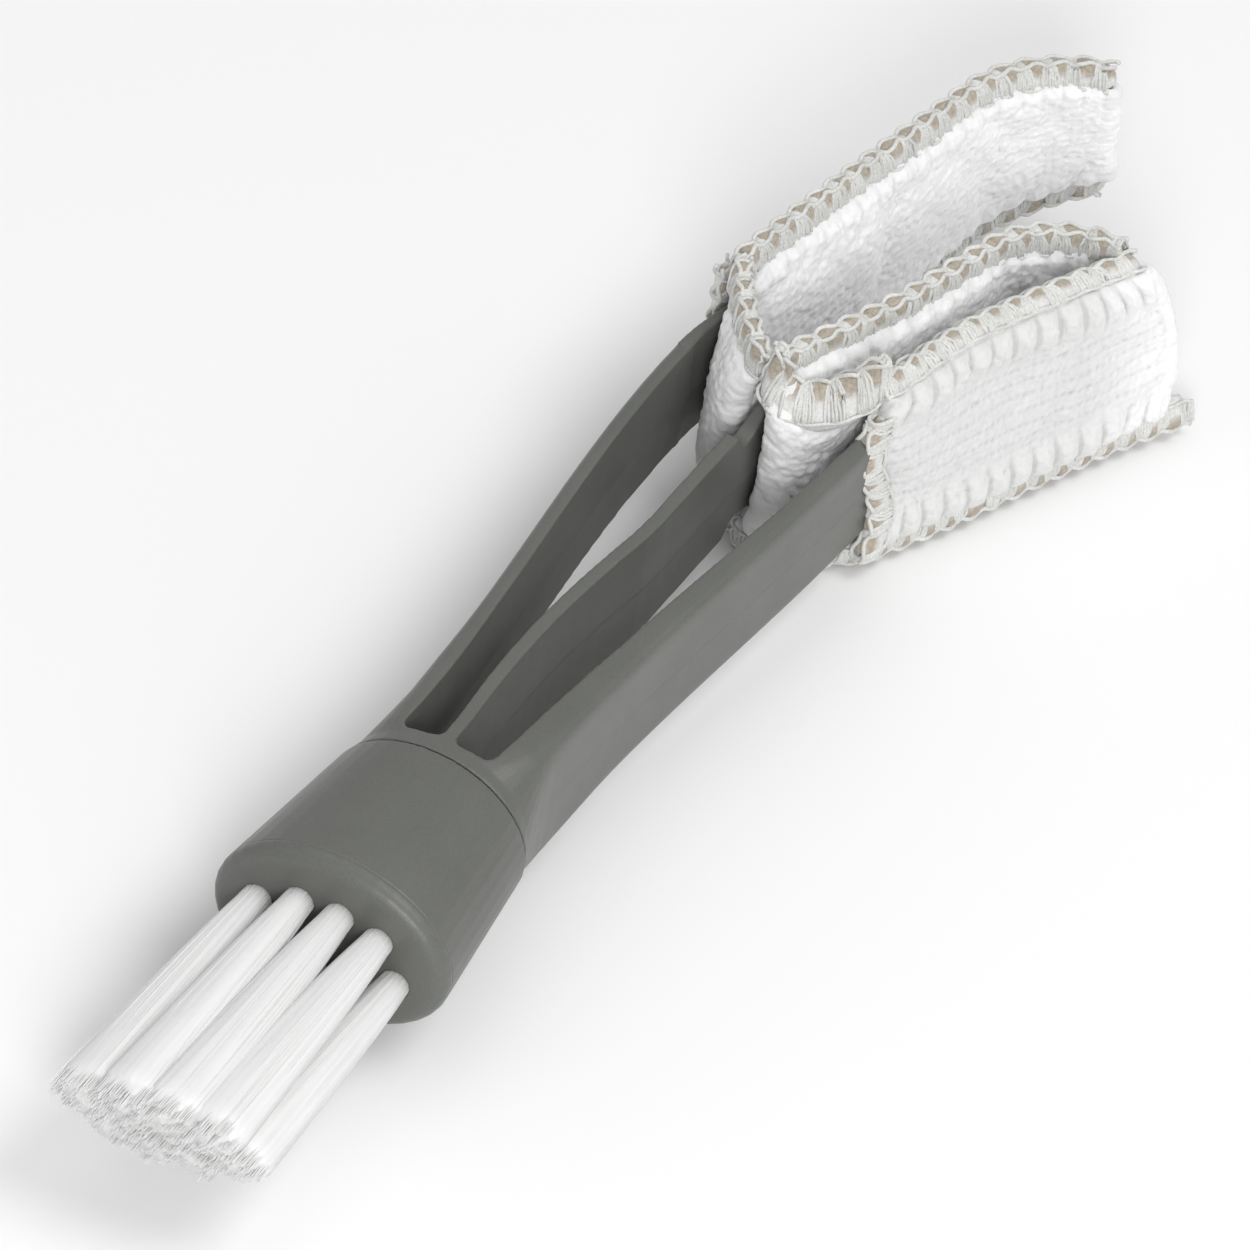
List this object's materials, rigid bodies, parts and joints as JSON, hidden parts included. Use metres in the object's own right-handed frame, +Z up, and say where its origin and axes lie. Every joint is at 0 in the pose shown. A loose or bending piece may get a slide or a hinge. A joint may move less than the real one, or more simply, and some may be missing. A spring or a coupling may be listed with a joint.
{
  "type": "car vent brush",
  "caption": "Double-ended car vent brush: oval head of nylon tufts on a three-blade plastic fork, with a pull-off sewn microfibre cover that wipes both sides of vent slats.",
  "frame": {"origin": "centre of the bounding box in plan, on the surface that the brush lies on", "axes": "+X along the handle from the bristles towards the cloth cover, +Z up, across the height of the blades"},
  "size_m": [0.1812, 0.0402, 0.0242],
  "materials": {
    "body_plastic": "satin grey moulding with a fine texture",
    "nylon": "translucent white filament",
    "microfibre": "white loop-pile microfibre",
    "thread": "off-white overlock thread"
  },
  "bodies": {
    "handle": {"brush_head": "body_plastic", "tufts_left": "nylon", "tufts_upper": "nylon", "tufts_right": "nylon", "tufts_lower": "nylon", "fork": "body_plastic"},
    "cover": {"pocket_left": "microfibre", "pocket_middle": "microfibre", "pocket_right": "microfibre", "web_left": "microfibre", "web_right": "microfibre", "overlock_top_left": "thread", "overlock_top_middle": "thread", "overlock_top_right": "thread", "overlock_bottom_left": "thread", "overlock_bottom_middle": "thread", "overlock_bottom_right": "thread", "web_edge_top_left": "thread", "web_edge_top_right": "thread", "web_edge_bottom_left": "thread", "web_edge_bottom_right": "thread", "mouth_hem_left": "thread", "mouth_hem_right": "thread"}
  },
  "joints": [
    {"name": "cover_pull_off", "type": "slide", "parent": "handle", "child": "cover", "axis": [0.9636, -0.2672, 0], "range_m": [0, 0.045]}
  ]
}
